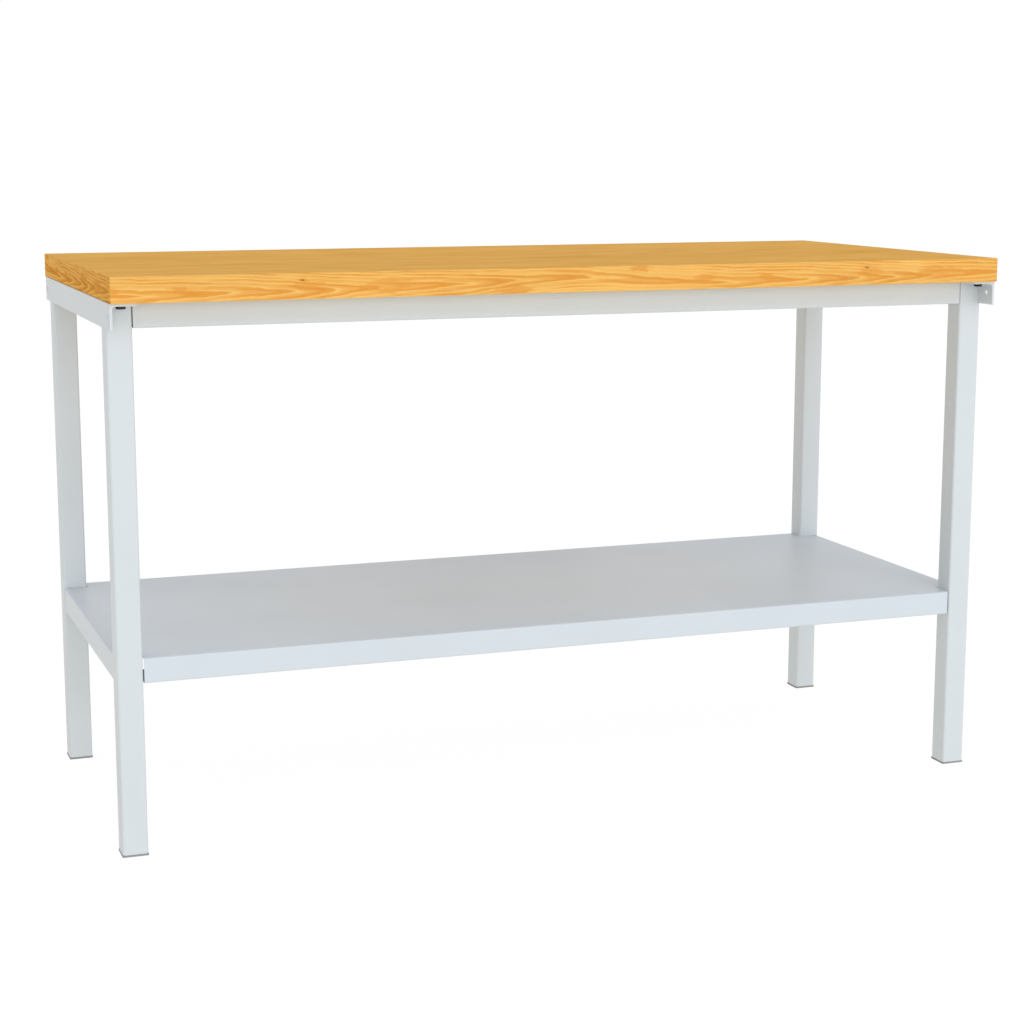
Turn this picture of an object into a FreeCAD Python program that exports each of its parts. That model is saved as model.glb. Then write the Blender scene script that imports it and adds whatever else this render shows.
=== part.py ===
import FreeCAD, Part
import math
import os
import Sketcher

# An assembly table: a solid wood board on a steel frame, with a folded sheet steel shelf low
# down between the legs. Two welded end frames (two legs, an angle rail under the board and a
# crossbar under the shelf) are joined by a front and a back rail, whose ends slide over short
# spigots on the legs and are bolted from inside the table.
#
# X runs along the table's length, Y from its front to its back and Z up. The origin is on the
# floor under the middle of the worktop. All lengths are millimetres.

DRIVING_SIZES = {
    # worktop
    "table_length": 1500,
    "table_depth": 700,
    "table_height": 900,
    "top_thickness": 40,
    "board_arris": 1,
    # legs and the long rails: square tube
    "leg_size": 40,
    "leg_wall": 2,
    "leg_corner": 4,
    "leg_setback": 50,
    "fit_gap": 2,
    # feet: plugs pushed into the legs
    "foot_flange": 3,
    "foot_size": 41,
    "foot_corner": 2.5,
    "foot_plug_height": 18,
    "foot_plug_size": 34,
    "foot_plug_wall": 2,
    "foot_plug_cut": 3,
    "foot_fin_size": 35.6,
    "foot_fin_thickness": 1.2,
    "foot_fin_pitch": 4,
    # angle rails: hot-rolled equal angle
    "angle_size": 40,
    "angle_thickness": 4,
    "angle_root": 6,
    "angle_toe": 3,
    "angle_setback": 7.5,
    "hole_inset": 20,
    "clearance_hole": 9,
    # spigots that carry the long rails, each with a welded nut inside
    "spigot_size": 35,
    "spigot_wall": 3,
    "spigot_corner": 4,
    "spigot_length": 60,
    "bolt_inset": 30,
    "nut_height": 6.5,
    "nut_bore": 8.2,
    # crossbars under the shelf
    "crossbar_size": 30,
    "crossbar_wall": 2,
    "crossbar_corner": 3,
    # shelf: one folded steel sheet
    "shelf_height": 314.5,
    "shelf_inset": 1.5,
    "sheet_thickness": 1.5,
    "bend_radius": 3,
    "edge_height": 40,
    "edge_return": 20,
    "edge_lip": 18,
    # stiffener under the shelf: a folded hat section
    "hat_length": 1400,
    "hat_width": 60,
    "hat_depth": 25,
    "hat_flange": 18,
    # 8 mm screws and bolts with flanged hexagon heads
    "screw_shank": 8,
    "screw_flats": 13,
    "screw_head": 5.3,
    "screw_flange": 17,
    "screw_flange_thickness": 1.6,
    "screw_length": 36,
    "bolt_length": 16,
    # 6 mm studs and nuts that hold the shelf down
    "stud_size": 6,
    "stud_length": 38,
    "stud_hole": 7,
    "stud_pitch": 300,
    "stud_nut_flats": 10,
    "stud_nut_height": 5,
    "stud_nut_bore": 6.2,
}

FIN_COUNT = 2

SHEET_NAME = "Sizes"
START, END = 1, 2
ORIGIN, H_AXIS, V_AXIS = -1, -1, -2
HALF_TURN = 180


class Size:
    """A length in millimetres, with the sheet expression that gives it."""

    def __init__(self, value, text=None):
        self.value = float(value)
        self.text = text or repr(float(value))

    def __add__(self, other):
        other = as_size(other)
        return Size(self.value + other.value, f"({self.text} + {other.text})")

    def __sub__(self, other):
        other = as_size(other)
        return Size(self.value - other.value, f"({self.text} - {other.text})")

    def __mul__(self, other):
        other = as_size(other)
        return Size(self.value * other.value, f"({self.text} * {other.text})")

    def __truediv__(self, other):
        other = as_size(other)
        return Size(self.value / other.value, f"({self.text} / {other.text})")

    def __neg__(self):
        return self * -1


def as_size(number):
    return number if isinstance(number, Size) else Size(number)


def make_sheet(doc):
    """Put the driving sizes in the document's sheet and return them by name."""
    sheet = doc.addObject("Spreadsheet::Sheet", SHEET_NAME)
    sizes = {}
    for row, (name, value) in enumerate(DRIVING_SIZES.items(), start=1):
        sheet.set(f"A{row}", name.replace("_", " "))
        sheet.set(f"B{row}", str(value))
        sheet.setAlias(f"B{row}", name)
        sizes[name] = Size(value, f"{SHEET_NAME}.{name}")
    doc.recompute()
    return sizes


def bind(thing, path, size):
    thing.setExpression(path, as_size(size).text)


# --- bodies, sketches and features ---------------------------------------------------------


def new_body(name, x=0, y=0, z=0, turn_axis=None):
    """A body for one sub-part, placed at x, y, z and given a half turn about an axis if asked."""
    body = doc.addObject("PartDesign::Body", name)
    body.Label = name
    if turn_axis:
        turn = FreeCAD.Rotation(FreeCAD.Vector(*turn_axis), HALF_TURN)
        body.Placement = FreeCAD.Placement(FreeCAD.Vector(), turn)
    bind(body, "Placement.Base.x", x)
    bind(body, "Placement.Base.y", y)
    bind(body, "Placement.Base.z", z)
    return body


def new_sketch(body, name, plane, offset=None):
    """A sketch on one of the body's own planes, or at an offset along that plane's normal."""
    sketch = body.newObject("Sketcher::SketchObject", f"{body.Label}_{name}")
    base_plane = next(item for item in body.Origin.OriginFeatures if item.Role == plane)
    sketch.AttachmentSupport = [(base_plane, "")]
    sketch.MapMode = "FlatFace"
    if offset is not None:
        bind(sketch, "AttachmentOffset.Base.z", offset)
    return sketch


def pin_point(sketch, geometry, point, x, y):
    """Hold a point of the sketch at x, y from the sketch's origin."""
    for kind, axis, size in (("DistanceX", V_AXIS, x), ("DistanceY", H_AXIS, y)):
        if abs(size.value) < 1e-9:
            sketch.addConstraint(Sketcher.Constraint("PointOnObject", geometry, point, axis))
            continue
        distance = Sketcher.Constraint(kind, ORIGIN, START, geometry, point, size.value)
        index = sketch.addConstraint(distance)
        bind(sketch, f"Constraints[{index}]", size)


def draw_circle(sketch, x, y, diameter):
    x, y = as_size(x), as_size(y)
    centre = FreeCAD.Vector(x.value, y.value)
    radius = diameter.value / 2
    circle = sketch.addGeometry(Part.Circle(centre, FreeCAD.Vector(0, 0, 1), radius))
    pin_point(sketch, circle, 3, x, y)
    index = sketch.addConstraint(Sketcher.Constraint("Diameter", circle, diameter.value))
    bind(sketch, f"Constraints[{index}]", diameter)


def round_corner(sketch, into, out, spot, entry, leave, corner):
    """Join two lines of an outline with an arc that keeps the sharp corner as its guide point."""
    x, y, radius = corner
    towards_centre = (entry + leave) * 0.5 - spot
    half_chord = (entry - leave).Length / 2
    to_centre = radius.value * (spot - entry).Length / half_chord
    centre = spot + towards_centre.normalize() * to_centre
    turns_left = (spot - entry).cross(leave - spot).z > 0
    first, last = (entry, leave) if turns_left else (leave, entry)
    start_angle = math.atan2(first.y - centre.y, first.x - centre.x)
    end_angle = math.atan2(last.y - centre.y, last.x - centre.x)
    if end_angle < start_angle:
        end_angle += 2 * math.pi
    circle = Part.Circle(centre, FreeCAD.Vector(0, 0, 1), radius.value)
    arc = sketch.addGeometry(Part.ArcOfCircle(circle, start_angle, end_angle))
    guide = sketch.addGeometry(Part.Point(spot), True)
    entry_end, leave_end = (START, END) if turns_left else (END, START)
    sketch.addConstraint(Sketcher.Constraint("Tangent", into, END, arc, entry_end))
    sketch.addConstraint(Sketcher.Constraint("Tangent", out, START, arc, leave_end))
    sketch.addConstraint(Sketcher.Constraint("PointOnObject", guide, START, into))
    sketch.addConstraint(Sketcher.Constraint("PointOnObject", guide, START, out))
    index = sketch.addConstraint(Sketcher.Constraint("Radius", arc, radius.value))
    bind(sketch, f"Constraints[{index}]", radius)
    pin_point(sketch, guide, START, x, y)


def draw_outline(sketch, corners):
    """Draw a closed outline. Each corner is (x, y), or (x, y, radius) where it is rounded."""
    corners = [tuple(as_size(item) for item in corner) for corner in corners]
    spots = [FreeCAD.Vector(corner[0].value, corner[1].value) for corner in corners]
    count = len(corners)
    entries = []
    leaves = []
    for i, corner in enumerate(corners):
        back = (spots[i - 1] - spots[i]).normalize()
        ahead = (spots[(i + 1) % count] - spots[i]).normalize()
        trim = 0
        if len(corner) == 3:
            trim = corner[2].value / math.tan(back.getAngle(ahead) / 2)
        entries.append(spots[i] + back * trim)
        leaves.append(spots[i] + ahead * trim)
    lines = []
    for i in range(count):
        run = Part.LineSegment(leaves[i], entries[(i + 1) % count])
        lines.append(sketch.addGeometry(run))
    for i, corner in enumerate(corners):
        into, out = lines[i - 1], lines[i]
        if len(corner) == 3:
            round_corner(sketch, into, out, spots[i], entries[i], leaves[i], corner)
        else:
            sketch.addConstraint(Sketcher.Constraint("Coincident", into, END, out, START))
            pin_point(sketch, out, START, *corner)


def draw_round_square(sketch, side, radius):
    """A square with rounded corners about the sketch's origin."""
    half = side / 2
    corners = [(-half, -half), (half, -half), (half, half), (-half, half)]
    draw_outline(sketch, [(x, y, radius) for x, y in corners])


def draw_cut_square(sketch, side, cut):
    """A square about the sketch's origin whose corners are cut off, by a length along each side."""
    half = side / 2
    run = half - cut
    draw_outline(sketch, [
        (-run, -half), (run, -half), (half, -run), (half, run),
        (run, half), (-run, half), (-half, run), (-half, -run),
    ])


def draw_tube(sketch, side, wall, radius):
    """Square tube: rounded outside, with small cut corners inside where the weld seam runs."""
    draw_round_square(sketch, side, radius)
    draw_cut_square(sketch, side - wall * 2, radius - wall)


def draw_hexagon(sketch, x, y, flats):
    """A hexagon with two corners level with its centre, given the width across its flats."""
    x, y = as_size(x), as_size(y)
    corner_reach = flats / (2 * math.cos(math.pi / 6))
    half_side = corner_reach / 2
    half_flats = flats / 2
    draw_outline(sketch, [
        (x + corner_reach, y),
        (x + half_side, y + half_flats),
        (x - half_side, y + half_flats),
        (x - corner_reach, y),
        (x - half_side, y - half_flats),
        (x + half_side, y - half_flats),
    ])


def pad(sketch, length, symmetric=False, backwards=False):
    body = sketch.getParentGeoFeatureGroup()
    feature = body.newObject("PartDesign::Pad", f"{sketch.Name}_pad")
    feature.Profile = sketch
    feature.SideType = "Symmetric" if symmetric else "One side"
    feature.Reversed = backwards
    bind(feature, "Length", length)
    doc.recompute()
    return feature


def pocket(sketch, depth, symmetric=False, backwards=False):
    """Cut a sketch out of its body. A cut that misses the solid stops the build."""
    body = sketch.getParentGeoFeatureGroup()
    volume_before = body.Shape.Volume
    feature = body.newObject("PartDesign::Pocket", f"{sketch.Name}_pocket")
    feature.Profile = sketch
    feature.SideType = "Symmetric" if symmetric else "One side"
    feature.Reversed = backwards
    bind(feature, "Length", depth)
    doc.recompute()
    if feature.Shape.Volume > volume_before - 1:
        raise ValueError(f"{feature.Name} cuts nothing")
    return feature


def mirror(body, feature, plane):
    """Repeat a feature on the other side of one of the body's own planes."""
    mirrored = body.newObject("PartDesign::Mirrored", f"{feature.Name}_mirrored")
    mirrored.Originals = [feature]
    base_plane = next(item for item in body.Origin.OriginFeatures if item.Role == plane)
    mirrored.MirrorPlane = (base_plane, [""])
    body.Tip = mirrored
    doc.recompute()
    return mirrored


# --- worktop -------------------------------------------------------------------------------


def make_worktop():
    """The board, with pilot holes in its underside for the screws through the angle rails."""
    body = new_body("worktop", z=top_underside)
    board = new_sketch(body, "board", "XY_Plane")
    half_length = size["table_length"] / 2
    half_depth = size["table_depth"] / 2
    draw_outline(board, [
        (-half_length, -half_depth),
        (half_length, -half_depth),
        (half_length, half_depth),
        (-half_length, half_depth),
    ])
    block = pad(board, size["top_thickness"])
    arris = body.newObject("PartDesign::Chamfer", "worktop_arris")
    arris.Base = (block, [""])
    arris.UseAllEdges = True
    bind(arris, "Size", size["board_arris"])
    doc.recompute()
    pilots = new_sketch(body, "pilots", "XY_Plane")
    for x, y in worktop_screw_places:
        draw_circle(pilots, x, y, size["screw_shank"])
    pocket(pilots, size["screw_length"] - size["angle_thickness"], backwards=True)


# --- end frames ----------------------------------------------------------------------------


def make_angle_rail(name, side):
    """Equal angle with its web at the table's end and its flange inwards under the board."""
    body = new_body(
        name,
        x=size["table_length"] / 2 * side,
        z=top_underside,
        turn_axis=(0, 0, 1) if side > 0 else None,
    )
    leg_length = size["angle_size"]
    thickness = size["angle_thickness"]
    toe = size["angle_toe"]
    profile = new_sketch(body, "profile", "XZ_Plane")
    draw_outline(profile, [
        (0, 0),
        (0, -leg_length),
        (thickness, -leg_length, toe),
        (thickness, -thickness, size["angle_root"]),
        (leg_length, -thickness, toe),
        (leg_length, 0),
    ])
    pad(profile, angle_length, symmetric=True)
    web_holes = new_sketch(body, "web_holes", "YZ_Plane")
    flange_holes = new_sketch(body, "flange_holes", "XY_Plane")
    for y in (-hole_reach, hole_reach):
        draw_circle(web_holes, y, -leg_length / 2, size["clearance_hole"])
        draw_circle(flange_holes, leg_length / 2, y, size["clearance_hole"])
    pocket(web_holes, thickness * 2, symmetric=True)
    pocket(flange_holes, thickness * 3, symmetric=True)


def make_leg(name, x_side, y_side):
    """Square tube, notched at its top so that the angle rail's web lies flush with its face."""
    body = new_body(
        name,
        x=leg_centre_x * x_side,
        y=leg_centre_y * y_side,
        z=size["foot_flange"],
        turn_axis=(0, 0, 1) if x_side > 0 else None,
    )
    profile = new_sketch(body, "profile", "XY_Plane")
    draw_tube(profile, size["leg_size"], size["leg_wall"], size["leg_corner"])
    pad(profile, leg_height)
    notch = new_sketch(body, "notch", "XZ_Plane")
    face = -size["leg_size"] / 2
    web_inside = face + size["angle_thickness"]
    web_foot = leg_height - size["angle_size"] + size["angle_thickness"]
    beyond = size["leg_wall"]
    draw_outline(notch, [
        (face - beyond, web_foot),
        (web_inside, web_foot),
        (web_inside, leg_height - size["angle_root"]),
        (web_inside + size["angle_root"], leg_height),
        (web_inside + size["angle_root"], leg_height + beyond),
        (face - beyond, leg_height + beyond),
    ])
    pocket(notch, size["leg_size"] * 2, symmetric=True)


def make_foot(name, x_side, y_side):
    """Moulded plug: a flange under the tube's end and a hollow stem with gripping fins."""
    body = new_body(name, x=leg_centre_x * x_side, y=leg_centre_y * y_side)
    flange = new_sketch(body, "flange", "XY_Plane")
    draw_round_square(flange, size["foot_size"], size["foot_corner"])
    pad(flange, size["foot_flange"])
    stem = new_sketch(body, "stem", "XY_Plane", offset=size["foot_flange"])
    stem_inside = size["foot_plug_size"] - size["foot_plug_wall"] * 2
    draw_cut_square(stem, size["foot_plug_size"], size["foot_plug_cut"])
    draw_cut_square(stem, stem_inside, size["foot_plug_cut"])
    pad(stem, size["foot_plug_height"])
    fin_height = size["foot_flange"] + size["foot_fin_pitch"]
    fin = new_sketch(body, "fin", "XY_Plane", offset=fin_height)
    draw_cut_square(fin, size["foot_fin_size"], size["foot_plug_cut"])
    draw_cut_square(fin, stem_inside + size["foot_plug_wall"], size["foot_plug_cut"])
    first_fin = pad(fin, size["foot_fin_thickness"])
    fins = body.newObject("PartDesign::LinearPattern", f"{name}_fins")
    fins.Originals = [first_fin]
    fins.Direction = (fin, ["N_Axis"])
    fins.Mode = "Spacing"
    fins.Occurrences = FIN_COUNT
    bind(fins, "Offset", size["foot_fin_pitch"])
    body.Tip = fins
    doc.recompute()


def make_crossbar(name, side):
    """Square tube between the two legs of an end frame, holed for the shelf's studs."""
    body = new_body(name, x=crossbar_x * side, z=crossbar_z)
    profile = new_sketch(body, "profile", "XZ_Plane")
    draw_tube(profile, size["crossbar_size"], size["crossbar_wall"], size["crossbar_corner"])
    pad(profile, leg_inner_y * 2, symmetric=True)
    holes = new_sketch(body, "stud_holes", "XY_Plane")
    for y in (-stud_y, stud_y):
        draw_circle(holes, 0, y, size["stud_hole"])
    pocket(holes, size["crossbar_size"] * 2, symmetric=True)


# --- long rails ----------------------------------------------------------------------------


def make_rail(name, y_side):
    """Square tube between the legs, open at its ends, bolted through its inner wall."""
    body = new_body(
        name,
        y=leg_centre_y * y_side,
        z=rail_z,
        turn_axis=(0, 0, 1) if y_side > 0 else None,
    )
    profile = new_sketch(body, "profile", "YZ_Plane")
    draw_tube(profile, size["leg_size"], size["leg_wall"], size["leg_corner"])
    pad(profile, rail_length, symmetric=True)
    holes = new_sketch(body, "bolt_holes", "XZ_Plane")
    for x in (-bolt_reach, bolt_reach):
        draw_circle(holes, x, 0, size["clearance_hole"])
    pocket(holes, size["leg_size"])


def make_spigot(name, x_side, y_side):
    """Short tube on a leg's inner face, which the end of a long rail slides over."""
    turn_axes = {(-1, -1): None, (1, -1): (0, 1, 0), (-1, 1): (1, 0, 0), (1, 1): (0, 0, 1)}
    body = new_body(
        name,
        x=leg_inner_x * x_side,
        y=leg_centre_y * y_side,
        z=rail_z,
        turn_axis=turn_axes[x_side, y_side],
    )
    inside = size["spigot_size"] / 2 - size["spigot_wall"]
    profile = new_sketch(body, "profile", "YZ_Plane")
    draw_cut_square(profile, size["spigot_size"], size["spigot_corner"])
    draw_cut_square(profile, inside * 2, size["spigot_corner"] - size["spigot_wall"])
    pad(profile, size["spigot_length"])
    nut = new_sketch(body, "welded_nut", "XZ_Plane", offset=-inside)
    draw_hexagon(nut, size["bolt_inset"], 0, size["screw_flats"])
    pad(nut, size["nut_height"])
    bore = new_sketch(body, "nut_bore", "XZ_Plane")
    draw_circle(bore, size["bolt_inset"], 0, size["nut_bore"])
    pocket(bore, size["spigot_size"])


# --- shelf ---------------------------------------------------------------------------------


def draw_fold(sketch, edge, turns):
    """Draw the section of a sheet folded down from the shelf's top and then on as turns say.

    edge is the distance of the fold's outer face from the shelf's middle. Each turn is the
    outer length of the next leg of the fold, after the leg that goes down.
    """
    thick = size["sheet_thickness"]
    outer = size["bend_radius"]
    inner = outer - thick
    outside = edge - thick
    bottom = -size["edge_height"]
    start = edge - outer * 2
    if not turns:
        draw_outline(sketch, [
            (start, 0),
            (edge, 0, outer),
            (edge, bottom),
            (outside, bottom),
            (outside, -thick, inner),
            (start, -thick),
        ])
        return
    back, lip = turns
    draw_outline(sketch, [
        (start, 0),
        (edge, 0, outer),
        (edge, bottom, outer),
        (edge - back, bottom, outer),
        (edge - back, bottom + lip),
        (edge - back + thick, bottom + lip),
        (edge - back + thick, bottom + thick, inner),
        (outside, bottom + thick, inner),
        (outside, -thick, inner),
        (start, -thick),
    ])


def make_shelf():
    """One sheet, cut out round the legs: plain folds at its ends, lipped folds front and back."""
    body = new_body("shelf", z=size["shelf_height"])
    flat_x = shelf_half_length - size["bend_radius"]
    flat_y = shelf_half_depth - size["bend_radius"]
    notch_x = leg_inner_x - size["fit_gap"]
    notch_y = leg_inner_y - size["fit_gap"]
    sheet = new_sketch(body, "sheet", "XY_Plane")
    draw_outline(sheet, [
        (-notch_x, -flat_y),
        (notch_x, -flat_y),
        (notch_x, -notch_y),
        (flat_x, -notch_y),
        (flat_x, notch_y),
        (notch_x, notch_y),
        (notch_x, flat_y),
        (-notch_x, flat_y),
        (-notch_x, notch_y),
        (-flat_x, notch_y),
        (-flat_x, -notch_y),
        (-notch_x, -notch_y),
    ])
    pad(sheet, size["sheet_thickness"], backwards=True)
    back_fold = new_sketch(body, "back_fold", "YZ_Plane")
    draw_fold(back_fold, shelf_half_depth, (size["edge_return"], size["edge_lip"]))
    mirror(body, pad(back_fold, notch_x * 2, symmetric=True), "XZ_Plane")
    end_fold = new_sketch(body, "end_fold", "XZ_Plane")
    draw_fold(end_fold, shelf_half_length, ())
    mirror(body, pad(end_fold, notch_y * 2, symmetric=True), "YZ_Plane")


def make_shelf_stiffener():
    """Hat section spot-welded under the shelf along its middle."""
    body = new_body("shelf_stiffener", z=shelf_underside)
    thick = size["sheet_thickness"]
    outer = size["bend_radius"]
    inner = outer - thick
    half = size["hat_width"] / 2
    reach = half + size["hat_flange"]
    depth = -size["hat_depth"]
    profile = new_sketch(body, "profile", "YZ_Plane")
    draw_outline(profile, [
        (-reach, 0),
        (-reach, -thick),
        (-half, -thick, inner),
        (-half, depth, outer),
        (half, depth, outer),
        (half, -thick, inner),
        (reach, -thick),
        (reach, 0),
        (half - thick, 0, outer),
        (half - thick, depth + thick, inner),
        (-half + thick, depth + thick, inner),
        (-half + thick, 0, outer),
    ])
    pad(profile, size["hat_length"], symmetric=True)


# --- fasteners: each set of identical ones is one sub-part of separate solids --------------


def make_worktop_screws():
    """Wood screws, driven up through the angle rails into the board."""
    body = new_body("worktop_screws", z=top_underside - size["angle_thickness"])
    heads = new_sketch(body, "heads", "XY_Plane")
    flanges = new_sketch(body, "flanges", "XY_Plane")
    shanks = new_sketch(body, "shanks", "XY_Plane")
    for x, y in worktop_screw_places:
        draw_hexagon(heads, x, y, size["screw_flats"])
        draw_circle(flanges, x, y, size["screw_flange"])
        draw_circle(shanks, x, y, size["screw_shank"])
    pad(heads, size["screw_head"], backwards=True)
    pad(flanges, size["screw_flange_thickness"], backwards=True)
    pad(shanks, size["screw_length"])


def make_rail_bolts():
    """Bolts that hold the long rails on their spigots, from inside the table."""
    body = new_body("rail_bolts", z=rail_z)
    heads = new_sketch(body, "heads", "XZ_Plane", offset=leg_inner_y)
    flanges = new_sketch(body, "flanges", "XZ_Plane", offset=leg_inner_y)
    shanks = new_sketch(body, "shanks", "XZ_Plane", offset=leg_inner_y)
    for x in (-bolt_reach, bolt_reach):
        draw_hexagon(heads, x, 0, size["screw_flats"])
        draw_circle(flanges, x, 0, size["screw_flange"])
        draw_circle(shanks, x, 0, size["screw_shank"])
    mirror(body, pad(heads, size["screw_head"], backwards=True), "XZ_Plane")
    mirror(body, pad(flanges, size["screw_flange_thickness"], backwards=True), "XZ_Plane")
    mirror(body, pad(shanks, size["bolt_length"]), "XZ_Plane")


def make_shelf_fasteners():
    """Studs welded under the shelf, with the nuts that pull it down onto the crossbars."""
    places = [(crossbar_x * x_side, stud_y * y_side) for x_side in (-1, 1) for y_side in (-1, 1)]
    studs = new_body("shelf_studs", z=shelf_underside)
    rods = new_sketch(studs, "rods", "XY_Plane")
    nuts = new_body("shelf_nuts", z=crossbar_z - size["crossbar_size"] / 2)
    blanks = new_sketch(nuts, "blanks", "XY_Plane")
    for x, y in places:
        draw_circle(rods, x, y, size["stud_size"])
        draw_hexagon(blanks, x, y, size["stud_nut_flats"])
        draw_circle(blanks, x, y, size["stud_nut_bore"])
    pad(rods, size["stud_length"], backwards=True)
    pad(blanks, size["stud_nut_height"], backwards=True)


# --- check and write -----------------------------------------------------------------------


def check_document():
    for item in doc.Objects:
        if "Invalid" in item.State or "Error" in item.State:
            raise ValueError(f"{item.Name} failed: {item.State}")
        if item.isDerivedFrom("Sketcher::SketchObject") and not item.FullyConstrained:
            raise ValueError(f"{item.Name} is not fully constrained")


def write_parts():
    """Write every sub-part, after its solids have been found sound."""
    os.makedirs("parts", exist_ok=True)
    for body in doc.findObjects("PartDesign::Body"):
        shape = body.Shape
        if shape.isNull() or not shape.isValid() or not shape.Solids:
            raise ValueError(f"{body.Label} has no sound solid")
        shape.exportStep(f"parts/{body.Label}.step")
        box = shape.BoundBox
        print(
            f"{body.Label}: {len(shape.Solids)} solid(s), {shape.Volume / 1000:.1f} cm3,"
            f" x {box.XMin:.1f} {box.XMax:.1f}, y {box.YMin:.1f} {box.YMax:.1f},"
            f" z {box.ZMin:.1f} {box.ZMax:.1f}"
        )


doc = FreeCAD.newDocument("assembly_table")
size = make_sheet(doc)

# heights
top_underside = size["table_height"] - size["top_thickness"]
leg_height = top_underside - size["angle_thickness"] - size["foot_flange"]
rail_z = top_underside - size["leg_size"] / 2
shelf_underside = size["shelf_height"] - size["sheet_thickness"]
crossbar_z = shelf_underside - size["crossbar_size"] / 2

# along the table
leg_centre_x = size["table_length"] / 2 - size["leg_size"] / 2
leg_inner_x = size["table_length"] / 2 - size["leg_size"]
rail_length = (leg_inner_x - size["fit_gap"]) * 2
bolt_reach = leg_inner_x - size["bolt_inset"]
shelf_half_length = size["table_length"] / 2 - size["shelf_inset"]
crossbar_x = size["table_length"] / 2 - size["leg_corner"] - size["crossbar_size"] / 2

# from front to back
leg_face_y = size["table_depth"] / 2 - size["leg_setback"]
leg_centre_y = leg_face_y - size["leg_size"] / 2
leg_inner_y = leg_face_y - size["leg_size"]
shelf_half_depth = leg_face_y - size["shelf_inset"]
angle_length = size["table_depth"] - size["angle_setback"] * 2
hole_reach = angle_length / 2 - size["hole_inset"]
stud_y = size["stud_pitch"] / 2

screw_x = size["table_length"] / 2 - size["angle_size"] / 2
worktop_screw_places = [
    (screw_x * x_side, hole_reach * y_side) for x_side in (-1, 1) for y_side in (-1, 1)
]

make_worktop()
make_angle_rail("left_angle_rail", -1)
make_angle_rail("right_angle_rail", 1)
for depth_word, y_side in (("front", -1), ("back", 1)):
    for side_word, x_side in (("left", -1), ("right", 1)):
        make_leg(f"{depth_word}_{side_word}_leg", x_side, y_side)
        make_foot(f"{depth_word}_{side_word}_foot", x_side, y_side)
        make_spigot(f"{depth_word}_{side_word}_spigot", x_side, y_side)
    make_rail(f"{depth_word}_rail", y_side)
make_crossbar("left_crossbar", -1)
make_crossbar("right_crossbar", 1)
make_shelf()
make_shelf_stiffener()
make_worktop_screws()
make_rail_bolts()
make_shelf_fasteners()

doc.recompute()
check_document()
write_parts()
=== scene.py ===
import math

import bmesh
import bpy
from mathutils import Euler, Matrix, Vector


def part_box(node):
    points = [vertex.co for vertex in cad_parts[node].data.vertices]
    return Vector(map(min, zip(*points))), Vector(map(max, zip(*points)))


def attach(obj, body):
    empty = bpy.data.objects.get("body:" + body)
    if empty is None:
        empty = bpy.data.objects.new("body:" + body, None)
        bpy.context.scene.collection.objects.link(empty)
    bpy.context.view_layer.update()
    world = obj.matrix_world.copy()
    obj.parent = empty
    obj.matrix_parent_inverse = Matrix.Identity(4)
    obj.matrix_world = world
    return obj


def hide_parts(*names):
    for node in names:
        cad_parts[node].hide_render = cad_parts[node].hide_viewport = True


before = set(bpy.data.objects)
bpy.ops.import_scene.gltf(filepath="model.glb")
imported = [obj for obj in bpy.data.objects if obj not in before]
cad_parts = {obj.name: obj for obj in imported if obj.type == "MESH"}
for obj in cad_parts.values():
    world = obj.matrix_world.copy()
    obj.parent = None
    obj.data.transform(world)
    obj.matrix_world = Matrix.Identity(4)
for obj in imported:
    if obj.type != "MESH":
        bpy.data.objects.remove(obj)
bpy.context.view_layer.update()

# An assembly table: a solid wood board on a powder-coated steel frame, with a folded sheet
# steel shelf low down. Metres, X along the table, Y from front to back, Z up, floor at zero.

MM = 0.001

# corners nearer to each other than this are one corner
SAME_PLACE = 0.002 * MM


# --- node trees ----------------------------------------------------------------------------


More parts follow.
